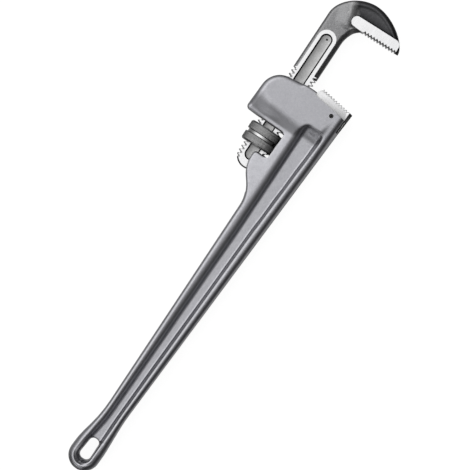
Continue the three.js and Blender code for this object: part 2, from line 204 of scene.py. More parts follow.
def wire(nodes, shader, **links):
    """Links outputs to the shader's inputs, with _ in a name for its space."""
    for key, value in links.items():
        nodes.tree.links.new(value, shader.inputs[key.replace("_", " ")])


def edge_wear(nodes, start, end):
    """How far a convex edge is worn bare, between two values of pointiness."""
    pointiness = nodes.add("ShaderNodeNewGeometry", output=7)
    return nodes.remap(pointiness, start, end)


def make_cast_aluminium():
    material, nodes, shader = new_metal("cast_aluminium")
    place = nodes.object_place()
    blasted = nodes.noise(place, 2600, 4, 0.7)
    patches = nodes.noise(place, 38, 3)
    mottle = nodes.remap(nodes.noise(place, 850, 2), 0.35, 0.65, 0, 0.5)
    worn = nodes.math("MULTIPLY", edge_wear(nodes, 0.515, 0.56), nodes.noise(place, 160, 2))
    base = nodes.mix(patches, grey(0.235, 1.07), grey(0.275, 1.06))
    speckles = nodes.math("MULTIPLY", mottle, nodes.remap(blasted, 0.3, 0.7))
    speckled = nodes.mix(speckles, base, grey(0.35, 1.04))
    roughness = nodes.remap(nodes.noise(place, 420, 3), 0.3, 0.7, 0.3, 0.43)
    pits = nodes.bump(nodes.noise(place, 2100, 2), 0.35, 0.00012)
    grain = nodes.bump(blasted, 0.4, 0.00012, pits)
    wire(nodes, shader, Base_Color=nodes.mix(worn, speckled, grey(0.4)), Roughness=roughness, Normal=grain)
    return material


def make_machined_aluminium():
    material, nodes, shader = new_metal("machined_aluminium")
    place = nodes.object_place()
    lines = nodes.noise(nodes.stretched(place, (300, 300, 5200)), 1, 3)
    wire(
        nodes, shader,
        Base_Color=nodes.mix(lines, grey(0.28), grey(0.38)),
        Roughness=nodes.remap(lines, 0.3, 0.7, 0.25, 0.42),
        Normal=nodes.bump(lines, 0.3, 0.00008),
    )
    return material


def make_forged_steel():
    """Scaled forging: grey along the shank, a lighter band, then blackened where the hook was hardened, with
    painted shade making it darkest beside the jaw block.
    """
    material, nodes, shader = new_metal("forged_steel")
    place = nodes.object_place()
    nodes.add("ShaderNodeSeparateXYZ", {0: place})
    along, across = nodes.tree.nodes[-1].outputs[:2]
    hook_line_distance = nodes.math("SUBTRACT", along, nut_centre.x + 0.1503)
    hook_line_distance = nodes.math("SUBTRACT", hook_line_distance, nodes.math("MULTIPLY", across, 1.4))
    past_block = nodes.math("SUBTRACT", along, nut_centre.x + 0.166)
    hook_line_distance = nodes.math("ADD", hook_line_distance, nodes.remap(nodes.noise(place, 90, 3), 0.3, 0.7, -0.003, 0.003))
    hardened = nodes.remap(hook_line_distance, -0.001, 0.011, smooth=True)
    # A lighter diagonal band just ahead of the blackened hook.
    lighter_band = nodes.remap(hook_line_distance, -0.013, -0.004, 0, 0.6, smooth=True)
    scale = nodes.noise(place, 650, 4, 0.6)
    worn = edge_wear(nodes, 0.52, 0.6)
    light = nodes.mix(nodes.remap(scale, 0.3, 0.7), grey(0.12, 1.02), grey(0.23, 1.02))
    # Painted shade: the dark colour is darkest up to the jaw block and lightens past it towards the hook's
    # outer edge.
    dark = nodes.mix(nodes.remap(past_block, 0, 0.014, smooth=True), grey(0.012, 1.05), grey(0.05, 1.05))
    colour = nodes.mix(hardened, nodes.mix(lighter_band, light, grey(0.3)), dark)
    pits = nodes.bump(nodes.noise(place, 260, 4, 0.6), 0.5, 0.0005)
    wire(
        nodes, shader,
        Base_Color=nodes.mix(nodes.math("MULTIPLY", worn, 0.5), colour, grey(0.3)),
        Roughness=nodes.remap(scale, 0.3, 0.7, 0.34, 0.52),
        Normal=nodes.bump(scale, 0.5, 0.0003, pits),
    )
    return material


def make_milled_steel():
    material, nodes, shader = new_metal("milled_steel")
    place = nodes.object_place()
    angle = math.atan2(shank_axis.y, shank_axis.x)
    cuts = nodes.noise(nodes.stretched(place, (180, 3400, 3400), -angle), 1, 3)
    smear = nodes.noise(place, 70, 2)
    colour = nodes.mix(smear, grey(0.5, 1.01), grey(0.57, 1.01))
    wire(
        nodes, shader,
        Base_Color=nodes.mix(nodes.remap(cuts, 0.3, 0.7, 0, 0.25), colour, grey(0.38)),
        Roughness=nodes.remap(cuts, 0.3, 0.7, 0.24, 0.4),
        Normal=nodes.bump(cuts, 0.25, 0.00006),
    )
    return material


def make_plain_steel(name, level, roughness, grain):
    """Oiled steel of one finish, with fine marks of the given number to the metre."""
    material, nodes, shader = new_metal(name)
    place = nodes.object_place()
    marks = nodes.noise(place, grain, 3)
    stain = nodes.noise(place, 120, 3)
    base = nodes.mix(nodes.remap(stain, 0.35, 0.65), grey(level * 0.88), grey(level * 1.06))
    wire(
        nodes, shader,
        Base_Color=nodes.mix(edge_wear(nodes, 0.53, 0.6), base, grey(min(1, level * 1.9))),
        Roughness=nodes.remap(marks, 0.3, 0.7, roughness - 0.06, roughness + 0.1),
        Normal=nodes.bump(marks, 0.3, 0.0001),
    )
    return material


def make_plated_thread():
    material, nodes, shader = new_metal("thread_steel")
    shader.inputs["Metallic"].default_value = 0.85
    place = nodes.object_place()
    wire(
        nodes, shader,
        Base_Color=nodes.mix(nodes.noise(place, 700, 3), grey(0.46), grey(0.55)),
        Roughness=nodes.remap(nodes.noise(place, 1500, 2), 0.3, 0.7, 0.3, 0.45),
    )
    return material


FINISHES = {
    "cast": make_cast_aluminium(),
    "cut": make_machined_aluminium(),
    "forged": make_forged_steel(),
    "milled": make_milled_steel(),
    "thread": make_plated_thread(),
    "recess": make_plain_steel("recess_steel", 0.27, 0.4, 1300),
    "turned": make_plain_steel("turned_steel", 0.34, 0.2, 1200),
    "tooth": make_plain_steel("tooth_steel", 0.07, 0.3, 1400),
    # black: blackened steel, also laid on as painted shade on the recess walls and the heel jaw's lip.
    "black": make_plain_steel("blackened_steel_and_painted_shade", 0.018, 0.4, 1300),
    "nut": make_plain_steel("nut_steel", 0.185, 0.3, 1800),
    # Near black: painted shade for the shade down in the pin's hole; the coil stud shares this finish.
    "pin": make_plain_steel("pin_steel", 0.035, 0.4, 1600),
    "spring": make_plain_steel("spring_steel", 0.25, 0.26, 1400),
}
FINISH_INDEX = {name: index for index, name in enumerate(FINISHES)}

# ---------- Meshes ----------


def piece(name, points, faces, finish):
    """A mesh in millimetres. Every piece carries all finishes in one order, so that cuts keep theirs."""
    mesh = bpy.data.meshes.new(name)
    mesh.from_pydata(np.asarray(points).tolist(), [], [list(map(int, face)) for face in faces])
    for material in FINISHES.values():
        mesh.materials.append(material)
    mesh.polygons.foreach_set("material_index", np.full(len(mesh.polygons), FINISH_INDEX[finish]))
    face_outwards(mesh)
    made = bpy.data.objects.new(name, mesh)
    bpy.context.scene.collection.objects.link(made)
    return made


def face_outwards(mesh):
    shape = bmesh.new()
    shape.from_mesh(mesh)
    if shape.calc_volume(signed=True) < 0:
        bmesh.ops.reverse_faces(shape, faces=shape.faces)
    shape.to_mesh(mesh)
    shape.free()


def combine(base, operation, others):
    """Joins or cuts a mesh with others, which are used up."""
    for other in others:
        step = base.modifiers.new("combine", "BOOLEAN")
        step.operation = operation
        step.solver = "MANIFOLD"
        step.object = other
    settle(base)
    for other in others:
        bpy.data.objects.remove(other)
    return base


def settle(made):
    """Applies every modifier on a piece."""
    bpy.context.view_layer.update()
    evaluated = made.evaluated_get(bpy.context.evaluated_depsgraph_get())
    mesh = bpy.data.meshes.new_from_object(evaluated)
    made.modifiers.clear()
    made.data = mesh
    return made


def without_slivers(made):
    """Triangulates a cut piece and closes its needle-thin faces.

    Left as many-sided faces, two of them can be split along one line when the piece is exported, which
    leaves stray doubled triangles in its STL.
    """
    shape = bmesh.new()
    shape.from_mesh(made.data)
    bmesh.ops.triangulate(shape, faces=shape.faces)
    bmesh.ops.dissolve_degenerate(shape, dist=SLIVER, edges=shape.edges)
    bmesh.ops.triangulate(shape, faces=shape.faces)
    shape.to_mesh(made.data)
    shape.free()
    return made


def soften(made, width):
    """Rounds the crisp edges of a machined piece."""
    bevel = made.modifiers.new("soften", "BEVEL")
    bevel.width = width
    bevel.segments = 2
    bevel.limit_method = "ANGLE"
    bevel.angle_limit = math.radians(BEVEL_ANGLE)
    return settle(made)


def finished(made, place, body, node, sharp=38):
    """Moves a piece from its drawing into the frame, and ties it to its body and node."""
    made.data.transform(place)
    drop_unused_finishes(made.data)
    made.data.shade_smooth()
    made.data.set_sharp_from_angle(angle=math.radians(sharp))
    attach(made, body)
    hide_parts(node)
    return made


def drop_unused_finishes(mesh):
    index = np.zeros(len(mesh.polygons), np.int32)
    mesh.polygons.foreach_get("material_index", index)
    used = sorted(set(index.tolist()))
    keep = [list(FINISHES.values())[i] for i in used]
    mesh.materials.clear()
    for material in keep:
        mesh.materials.append(material)
    mesh.polygons.foreach_set("material_index", np.searchsorted(used, index).astype(np.int32))


def outline(corners):
    """The points of a closed outline through corners (x, y, radius), each rounded to its radius."""
    at = [np.array(corner[:2], float) for corner in corners]
    points = []
    for i, corner in enumerate(corners):
        radius = corner[2] if len(corner) > 2 else 0
        if not radius:
            points.append(at[i])
            continue
        back, on = at[i - 1] - at[i], at[(i + 1) % len(at)] - at[i]
        back, on = back / np.linalg.norm(back), on / np.linalg.norm(on)
        half = math.acos(np.clip(back @ on, -1, 1)) / 2
        middle = (back + on) / np.linalg.norm(back + on)
        centre = at[i] + middle * radius / math.sin(half)
        enter = at[i] + back * radius / math.tan(half)
        turn = math.copysign(math.pi - 2 * half, on[0] * back[1] - on[1] * back[0])
        steps = max(2, math.ceil(abs(math.degrees(turn)) / ARC_STEP))
        points += [centre + turned(enter - centre, turn * k / steps) for k in range(steps + 1)]
    before = points[-1:] + points[:-1]
    return np.array([p for p, q in zip(points, before) if np.linalg.norm(p - q) > 0.02])


def turned(vector, angle):
    c, s = math.cos(angle), math.sin(angle)
    return np.array([c * vector[0] - s * vector[1], s * vector[0] + c * vector[1]])


def at_level(shape, z):
    return np.column_stack([shape, np.full(len(shape), float(z))])


def prism(name, shape, low, high, finish):
    """An upright solid of constant section."""
    count = len(shape)
    points = np.vstack([at_level(shape, low), at_level(shape, high)])
    sides = [(i, (i + 1) % count, (i + 1) % count + count, i + count) for i in range(count)]
    caps = [tuple(range(count))[::-1], tuple(range(count, 2 * count))]
    return piece(name, points, sides + caps, finish)


def block(name, xs, ys, zs, finish):
    shape = np.array([(xs[0], ys[0]), (xs[1], ys[0]), (xs[1], ys[1]), (xs[0], ys[1])], float)
    return prism(name, shape, zs[0], zs[1], finish)


def loft(name, rings, finish):
    """A closed solid through rings of equally many points, capped at both ends."""
    count = len(rings[0])
    points = np.vstack(rings)
    faces = [
        (r * count + i, r * count + (i + 1) % count, (r + 1) * count + (i + 1) % count, (r + 1) * count + i)
        for r in range(len(rings) - 1)
        for i in range(count)
    ]
    last = (len(rings) - 1) * count
    faces += [tuple(range(count))[::-1], tuple(range(last, last + count))]
    return piece(name, points, faces, finish)


def lathe(name, profile, axis, sides, finish, centre=(0, 0)):
    """A solid of revolution through (position, radius) along an axis that crosses z = 0 at centre."""
    angles = np.linspace(0, 2 * math.pi, sides, endpoint=False)
    c, s = np.cos(angles), np.sin(angles)
    rings = []
    for position, radius in profile:
        along, u, v = np.full(sides, float(position)), radius * c, radius * s
        if axis == "x":
            rings.append(np.column_stack([along, centre[0] + u, centre[1] + v]))
        elif axis == "y":
            rings.append(np.column_stack([centre[0] + u, along, centre[1] + v]))
        else:
            rings.append(np.column_stack([centre[0] + u, centre[1] + v, along]))
    return loft(name, rings, finish)


def distance_to(shape, x, y):
    """Signed distance from grid points to a closed outline, negative inside."""
    nearest = np.full(x.shape, np.inf)
    inside = np.zeros(x.shape, bool)
    for (ax, ay), (bx, by) in zip(shape, np.roll(shape, -1, 0)):
        ex, ey = bx - ax, by - ay
        px, py = x - ax, y - ay
        share = np.clip((px * ex + py * ey) / (ex * ex + ey * ey), 0, 1)
        nearest = np.minimum(nearest, (px - share * ex) ** 2 + (py - share * ey) ** 2)
        if ey:
            inside ^= ((ay > y) != (by > y)) & (x < ax + (y - ay) * ex / ey)
    return np.sqrt(nearest) * np.where(inside, -1, 1)


def smooth(t):
    t = np.clip(t, 0, 1)
    return t * t * (3 - 2 * t)


def bend(x, start, end):
    """A line that turns from level to a slope of 1 between two places."""
    return np.clip(x - start, 0, end - start) ** 2 / (2 * (end - start)) + np.maximum(x - end, 0)


def mixed(a, b, share):
    return a + (b - a) * share


def spaced(*stretches):
    """Grid lines through stretches (from, to, step)."""
    lines = [np.arange(a, b, step) for a, b, step in stretches]
    return np.concatenate(lines + [[stretches[-1][1]]])


def rounded_field(height, side, radius, xs, ys, zs, draft, flash):
    """The distance field of a slab of varying half height inside a side distance, its rims rounded."""
    steep = np.sqrt(1 + sum(g * g for g in np.gradient(height, xs, ys)))
    field = np.empty((len(xs), len(ys), len(zs)), np.float32)
    for k, z in enumerate(zs):
        top = (abs(z) - height) / steep
        wall = side + flash + draft * abs(z) - flash * math.exp(-((z / 0.5) ** 2))
        reach = np.hypot(np.maximum(top + radius, 0), np.maximum(wall + radius, 0))
        field[:, :, k] = np.minimum(np.maximum(top, wall), -radius) + reach
    return field


def surface(name, field, xs, ys, zs, finish):
    """The zero surface of a field sampled on a grid whose steps may vary."""
    grid = openvdb.FloatGrid(background=5.0)
    grid.copyFromArray(np.clip(field, -5, 5))
    points, triangles, quads = grid.convertToPolygons(isovalue=0.0, adaptivity=0.0)
    columns = [np.interp(points[:, i], np.arange(len(g)), g) for i, g in enumerate((xs, ys, zs))]
    faces = [*map(tuple, quads.tolist()), *map(tuple, triangles.tolist())]
    return piece(name, np.column_stack(columns), faces, finish)


# ---------- Handle ----------

handle_outline = outline([
    (74.9, -64.9, 4.5), (74.9, -10, 60), (67.5, 34, 22.5), (17.4, 34.3, 4.5), (WINDOW_HIGH, 4, 100),
    (WINDOW_HIGH, -15.8, 2.6), (WINDOW_LOW, -15.8, 4), (WINDOW_LOW, -0.7, 4.5), (-33.7, -0.7, 34),
    (-59.8, -21.8, 42), (-345, -31.6, 150), (-380, -25.2, 90), (-410.6, -25.2, 17.4),
    (-410.6, -60, 17.4), (-380, -60, 90), (-340, -56.9, 200),
])
pocket_outline = outline([
    (41.2, -30.6, 5.5), (41.2, -53, 5.5), (-97, -50.2, 300), (-330, -49.4, 300), (-372, -50, 60),
    (-402, -49.8, 8.6), (-402, -33.4, 8.6), (-378, -34.6, 60), (-345, -38.4, 100), (-97, -35.2, 300),
])
hanging_slot_outline = outline([
    (-397.2, -36.2, 5.6), (-397.2, -49.6, 5.6), (-371.7, -48.6, 4.8), (-371.7, -37.9, 4.8),
])


def handle_height(x, y, pocket):
    """Half height of the casting: rails and cheek, the ramp up to the housing, and the pocket.

    The ramp is short beside the nut's window and long along the front rail. The pocket's back wall leans
    over a wider stretch than its front wall, and its far end climbs at about 45 degrees.
    """
    front = smooth((-45 - y) / 8)
    starts = mixed(19.5, 0, front), mixed(23, 14, front)
    fade = smooth((y - 12) / 18)
    ends = mixed(29.4 + 3 * fade, 44, front), mixed(38.9 + 6 * fade, 60, front)
    rise = (bend(x, *starts) - bend(x, *ends)) * 2 / (sum(ends) - sum(starts))
    cheek_slope = 0.085 * np.clip(y + 25, 0, 37) * (1 - rise)
    level = mixed(RAIL_HALF, HOUSING_HALF, rise) - cheek_slope
    floor = np.minimum(WEB_HALF + 1.03 * bend(x, 23.5, 33.5), level)
    upper = smooth((y + 47) / 7)
    foot = mixed(1.2, 1.9, upper)
    reach = mixed(3.4, mixed(7, 9.2, smooth((x + 280) / 120)), upper)
    end = smooth((x - 24) / 20)
    up_wall = np.clip((pocket + foot) / mixed(reach, 2.6, end), 0, 1)
    wall = mixed(1 - (1 - up_wall) ** 2, smooth(up_wall / 0.14), 0.42 * (1 - end))
    return floor + (level - floor) * wall


def handle_rim(x, y, slot):
    """Radius of the casting's rounded rims."""
    housing = mixed(2.4, 5.2, smooth((x - 18) / 6) * smooth((y + 6) / 6))
    end = smooth((x + 408) / 60)
    back = mixed(mixed(11, 3.5, end), housing, smooth((x + 75) / 35))
    radius = mixed(back, mixed(8.5, 5.2, end), smooth((-44 - y) / 8))
    return mixed(1.2, radius, smooth((slot - 2) / 4))


def handle_draft(x, y):
    """How far the walls lean: most along the front, where the rail widens into the housing."""
    front = smooth((-48 - y) / 8)
    return mixed(WALL_DRAFT, mixed(0.08, FRONT_DRAFT, smooth((x + 300) / 300)), front)


def blurred(field, passes):
    """Evens out creases, as a sand mould does."""
    for _ in range(passes):
        for axis in (0, 1):
            field = (np.roll(field, 1, axis) + 2 * field + np.roll(field, -1, axis)) / 4
    return field


def seat_strip(name, span, heights, half, finish):
    """A block along the heel jaw's seat: span runs along the seat, heights rise towards the teeth."""
    along = (SEAT_OUTER - SEAT_INNER) / np.linalg.norm(SEAT_OUTER - SEAT_INNER)
    out = np.array([-along[1], along[0]])
    corner = lambda distance, height: SEAT_INNER + along * distance + out * height
    shape = [corner(span[i], heights[j]) for i, j in ((0, 0), (1, 0), (1, 1), (0, 1))]
    return prism(name, np.array(shape), -half, half, finish)


def pin_hole(finish):
    radius = PIN_RADIUS + GAP
    return lathe("pin_hole", [(-THROUGH, radius), (THROUGH, radius)], "z", 48, finish, PIN_AT)


def make_handle():
    xs = spaced((-414, -350, 0.8), (-350, -90, 2.6), (-90, 77, 0.8))
    ys = spaced((-68, 37.6, 0.8))
    zs = spaced((-22.2, -9, 0.8), (-9, -3.6, 1.8), (-3.6, -1, 1.3), (-1, 1, 0.25),
                (1, 3.6, 1.3), (3.6, 9, 1.8), (9, 22.2, 0.8))
    x, y = np.meshgrid(xs, ys, indexing="ij")
    slot = distance_to(hanging_slot_outline, x, y)
    height = blurred(handle_height(x, y, distance_to(pocket_outline, x, y)), 2)
    side = np.maximum(distance_to(handle_outline, x, y) - SWELL, -slot)
    field = rounded_field(height, side, handle_rim(x, y, slot), xs, ys, zs, handle_draft(x, y), FLASH)
    handle = surface("handle_casting", field, xs, ys, zs, "cast")
    cuts = [
        seat_strip("seat", (0, THROUGH), (0, THROUGH), THROUGH, "cut"),
        block("lip", (LIP_X, THROUGH), (-THROUGH, LIP_Y), (-THROUGH, THROUGH), "cut"),
        block("channel", (WINDOW_HIGH - 2, THROUGH), (CHANNEL_FRONT, CHANNEL_BACK),
              (-CHANNEL_HALF, CHANNEL_HALF), "cut"),
        block("fork", (FORK_START, WINDOW_LOW + 2), (FORK_FLOOR, THROUGH),
              (-CHANNEL_HALF, CHANNEL_HALF), "cut"),
        lathe("nut_pocket", [(WINDOW_LOW, 0.01), (WINDOW_LOW, NUT_POCKET_RADIUS),
                             (WINDOW_HIGH, NUT_POCKET_RADIUS), (WINDOW_HIGH, 0.01)], "x", 128, "cut"),
        block("foot_notch", (LEAF_START - 1.6, LEAF_START + 4),
              (CHANNEL_FRONT - LEAF_FOOT, CHANNEL_FRONT + 1), (-LEAF_HALF - 0.6, LEAF_HALF + 0.6), "cut"),
        lathe("coil_bore", [(COIL_BORE_BOTTOM - 1.5, 0.2), (COIL_BORE_BOTTOM, COIL_BORE_RADIUS),
                            (CHANNEL_FRONT + 1, COIL_BORE_RADIUS)], "y", 48, "cut", (COIL_X, 0)),
        seat_strip("tongue_slot", (TONGUE_SPAN[0] - 0.4, TONGUE_SPAN[1] + 0.4), (-TONGUE_DEPTH - 0.4, THROUGH),
                   TONGUE_HALF + GAP, "cut"),
        pin_hole("cut"),
    ]
    combine(handle, "DIFFERENCE", cuts)
    return finished(handle, HANDLE_FRAME, "handle", "handle")


# ---------- Teeth and thread ----------


def tooth_cutter(start, end, inwards, count, half):
    """Ratchet-shaped notches along a line of tooth tips, as one solid that cuts them out.

    The teeth are bevelled where they meet the sides of a jaw of the given half thickness.
    """
    start, end, inwards = (np.array(p, float) for p in (start, end, inwards))
    inwards /= np.linalg.norm(inwards)
    at = lambda share, depth: start + (end - start) * share + inwards * depth
    shape = [at(0, 0)]
    for tooth in range(count):
        shape += [at((tooth + 0.14) / count, 0), at((tooth + 0.4) / count, TOOTH_DEPTH),
                  at((tooth + 0.46) / count, TOOTH_DEPTH), at((tooth + 1) / count, 0)]
    shape = np.array(shape + [at(1, -2 * TOOTH_DEPTH), at(0, -2 * TOOTH_DEPTH)])
    straight = half - TOOTH_BEVEL
    levels = ((-THROUGH, 1), (-half, 1), (-straight, 0), (straight, 0), (half, 1), (THROUGH, 1))
    rings = [at_level(shape + inwards * TOOTH_BEVEL * back, z) for z, back in levels]
    return loft("teeth", rings, "tooth")


# One turn of the thread, as (fraction of the pitch, radius), with its corners rounded off.
THREAD_ROWS = [
    (-0.02, CREST_RADIUS - 0.35), (0.01, CREST_RADIUS), (0.19, CREST_RADIUS), (0.22, CREST_RADIUS - 0.35),
    (0.42, ROOT_RADIUS + 0.35), (0.47, ROOT_RADIUS), (0.73, ROOT_RADIUS), (0.78, ROOT_RADIUS + 0.35),
]


def screw(name, grow):
    """A right-handed screw about x, grown by a clearance, whose grid leans with its helix."""
    sides = THREAD_SIDES
    rows = [(fraction, radius + grow) for fraction, radius in THREAD_ROWS]
    last = len(rows) * THREAD_TURNS
    row, side = np.meshgrid(np.arange(last + 1), np.arange(sides), indexing="ij")
    fraction, radius = (np.array(column)[row % len(rows)] for column in zip(*rows))
    angle = 2 * math.pi * side / sides
    x = THREAD_START + PITCH * (row // len(rows) + fraction + side / sides)
    points = np.stack([x, radius * np.cos(angle), radius * np.sin(angle)], -1).reshape(-1, 3)

    def vertex(r, s):
        return r * sides + s if s < sides else (r + len(rows)) * sides

    faces = []
    for r in range(last):
        whole = sides if r < last - len(rows) else sides - 1
        for s in range(whole):
            a, b, c, d = vertex(r, s), vertex(r, s + 1), vertex(r + 1, s), vertex(r + 1, s + 1)
            faces += [(a, b, c), (b, d, c)]
    near = [vertex(0, s) for s in range(sides)] + [vertex(len(rows) - i, 0) for i in range(len(rows))]
    far = [vertex(last, s) for s in range(sides)]
    far += [vertex(last - 1 - i, sides - 1) for i in range(len(rows))]
    screw_end = THREAD_START + PITCH * THREAD_TURNS
    for rim, place, flip in ((near, THREAD_START, True), (far, screw_end, False)):
        points = np.vstack([points, [place, 0, 0]])
        centre = len(points) - 1
        for p, q in zip(rim, rim[1:] + rim[:1]):
            faces.append((centre, q, p) if flip else (centre, p, q))
    return piece(name, points, faces, "thread")


def stadium(start, end, radius, offset=0.0, sides=24):
    """A slot-shaped outline along x, with semicircular ends."""
    right = [(end + radius * math.cos(a), offset + radius * math.sin(a))
             for a in np.linspace(-math.pi / 2, math.pi / 2, sides)]
    left = [(start - radius * math.cos(a), offset - radius * math.sin(a))
            for a in np.linspace(-math.pi / 2, math.pi / 2, sides)]
    return np.array(right + left)


# ---------- Hook jaw ----------

HOOK_TIP_INNER, HOOK_TIP_OUTER = (155.7, -28), (156.5, -69.5)
DIMPLE_AT = (128.1, 0.5)
RIDGE = np.array([(138, -20), (148, -11), (157.4, -7), (165.5, -5), (178.5, 0.5), (190, 6.5)])
FORGING_LEVEL = SHANK_HALF - 0.25     # the forging just below its milled flats


def bezier(a, b, c, d):
    t = np.linspace(0, 1, CURVE_STEPS + 1)[1:, None]
    a, b, c, d = (np.array(p, float) for p in (a, b, c, d))
    return (1 - t) ** 3 * a + 3 * (1 - t) ** 2 * t * b + 3 * (1 - t) * t * t * c + t ** 3 * d


hook_outline = np.vstack([
    [(THREAD_END - 3, -15.2), (132, -15.2)],
    bezier((132, -15.2), (143, -15.2), (152, -20), (155.7, -27)),
    [(156.3, -73.3)],
    bezier((156.3, -73.3), (169.6, -73.4), (189, -47), (189, -26)),
    bezier((189, -26), (189, -5.4), (172, 15.2), (154.2, 15.2)),
    [(THREAD_END - 3, 15.2)],
])
jaw_block_outline = outline([
    (155.7, -21), (*HOOK_TIP_OUTER, 0.5), (169, -69, 6.2), (167.8, -10.2, 5.8), (156.4, -10.2, 5.2),
])


def side_of_ridge(x, y):
    """Signed distance from the ridge where the shank turns into the hook, positive on the hook's side."""
    nearest = np.full(x.shape, np.inf)
    signed = np.zeros(x.shape)
    for (ax, ay), (bx, by) in zip(RIDGE[:-1], RIDGE[1:]):
        ex, ey = bx - ax, by - ay
        px, py = x - ax, y - ay
        share = np.clip((px * ex + py * ey) / (ex * ex + ey * ey), 0, 1)
        away = np.hypot(px - share * ex, py - share * ey)
        closer = away < nearest
        nearest = np.where(closer, away, nearest)
        signed = np.where(closer, np.sign(ey * px - ex * py) * away, signed)
    return signed


def forging_height(x, y, side):
    """Half height of the forging: flat along the shank, a ridge, and the hook hollowed behind its jaw."""
    ridge = side_of_ridge(x, y)
    neck = FORGING_LEVEL + 2.2 * smooth(1 + ridge / 15) * smooth((x - 146) / 8)
    hook = neck - 3.2 * smooth(ridge / 10)
    rim = 1.5 * np.exp(-(((side + 5) / 2.1) ** 2)) * smooth(ridge / 8)
    level = hook + rim
    jaw_block = distance_to(jaw_block_outline, x, y)
    level -= 0.9 * np.exp(-((np.maximum(jaw_block, 0) / 1.2) ** 2)) * (x > 150)
    inner = smooth((157 - x) / 3) * smooth(-y / 6)
    band = mixed(2.7, 5.2, inner)
    return level - 0.8 * np.maximum(side + band, 0)


def make_recess(name, side):
    """The pool milled along a flat, its wall sloped and its floor's edge rounded."""
    steps = [
        (SHANK_HALF + 1, 0.3), (SHANK_HALF, 0.1), (SHANK_HALF - 0.3, -0.1), (SHANK_HALF - 1.4, -1.4),
        (SHANK_HALF - SLOT_DEPTH, -2),
    ]
    rings = []
    for height, grow in steps:
        rings.append(at_level(stadium(TAIL_CENTRE, SLOT_TOP, SLOT_RADIUS + grow, SLOT_OFFSET), side * height))
    recess = loft(name, rings, "recess")
    # The sloped walls take the black finish: painted shade for the dark line along the recess's shadowed wall.
    for face in recess.data.polygons:
        if abs(face.normal.z) < 0.9:
            face.material_index = FINISH_INDEX["black"]
    return recess


def make_hook_jaw():
    xs, ys = spaced((THREAD_END - 5, 190, 0.65)), spaced((-75, 17, 0.65))
    zs = spaced((-13, -1, 0.55), (-1, 1, 0.25), (1, 13, 0.55))
    x, y = np.meshgrid(xs, ys, indexing="ij")
    side = distance_to(hook_outline, x, y)
    height = blurred(forging_height(x, y, side), 2)
    rim = np.full(x.shape, 1.6)
    forging = surface("hook_jaw_forging", rounded_field(height, side, rim, xs, ys, zs, 0.03, 0.25),
                      xs, ys, zs, "forged")
    levels = ((-SHANK_HALF, -1.5), (1.5 - SHANK_HALF, 0), (SHANK_HALF - 1.5, 0), (SHANK_HALF, -1.5))
    tail = TAIL_CENTRE - TAIL_EXTRA
    bar = loft("bar", [at_level(stadium(tail, THREAD_END, CREST_RADIUS + grow, sides=48), z)
                       for z, grow in levels], "black")
    for face in bar.data.polygons:
        if abs(face.normal.z) > 0.9:
            face.material_index = FINISH_INDEX["milled"]
    end = block("bar_end", (THREAD_END, THROUGH * 2), (-20, 20), (-20, 20), "milled")
    combine(bar, "DIFFERENCE", [end])
    thread = combine(screw("thread", 0), "INTERSECT", [bar])
    land = prism("land", stadium(THREAD_END + 6.5, SLOT_TOP + 0.6, LAND_RADIUS, SLOT_OFFSET),
                 -SHANK_HALF, SHANK_HALF, "milled")
    land_sides = SLOT_OFFSET - LAND_RADIUS, SLOT_OFFSET + LAND_RADIUS
    land_foot = block("land_foot", (THREAD_END - 4, THREAD_END + 7), land_sides,
                      (-SHANK_HALF, SHANK_HALF), "milled")
    jaw_block = prism("jaw_block", jaw_block_outline, -JAW_HALF, JAW_HALF, "milled")
    combine(forging, "UNION", [thread, land, land_foot, jaw_block])
    dimple_floor = SHANK_HALF - SLOT_DEPTH - 0.8
    dimples = [lathe("dimple", [(side * dimple_floor, 0.8), (side * SHANK_HALF, 1.9)], "z", 32, "black",
                     DIMPLE_AT) for side in (-1, 1)]
    teeth = tooth_cutter(HOOK_TIP_INNER, HOOK_TIP_OUTER, (1, 0), HOOK_TEETH, JAW_HALF)
    recesses = [make_recess("recess", 1), make_recess("recess_back", -1)]
    combine(forging, "DIFFERENCE", [*recesses, *dimples, teeth])
    without_slivers(forging)
    return finished(forging, JAW_FRAME, "hook_jaw", "hook_jaw")


# ---------- Heel jaw and its pin ----------

HEEL_TIP_INNER, HEEL_TIP_OUTER = (81.7, -24.4), (77.4, -60.6)


def make_heel_jaw():
    shape = outline([
        (71.6, -19.9), (76.4, -19.9, 1), (*HEEL_TIP_INNER, 0.4), HEEL_TIP_OUTER, (76.9, -61.6), (66.6, -61.6),
    ])
    lip_shape = outline([
        (66.6, -61), (77.2, -61), (76.9, -62.4, 0.6), (76.2, -65.6, 0.6), (LIP_X + 0.4, -64.6),
        (LIP_X + 0.4, LIP_Y - 0.3), (66.4, LIP_Y - 0.3),
    ])
    jaw = prism("heel_jaw_steel", shape, -HEEL_HALF, HEEL_HALF, "milled")
    # The lip is the jaw's skirt round the handle's front; its black is painted shade for the jaw's shaded end
    # face and the shadow under it.
    lip = prism("lip", lip_shape, 0.7 - HEEL_HALF, HEEL_HALF - 0.7, "black")
    tongue = seat_strip("tongue", TONGUE_SPAN, (-TONGUE_DEPTH, 2), TONGUE_HALF, "milled")
    combine(jaw, "UNION", [lip, tongue])
    hole = pin_hole("milled")
    along = np.array(SEAT_OUTER - SEAT_INNER)
    teeth = tooth_cutter(HEEL_TIP_INNER, HEEL_TIP_OUTER, (along[1], -along[0]), HEEL_TEETH, HEEL_HALF)
    combine(jaw, "DIFFERENCE", [teeth, hole])
    soften(jaw, 0.25)
    return finished(jaw, HANDLE_FRAME, "handle", "heel_jaw", sharp=20)


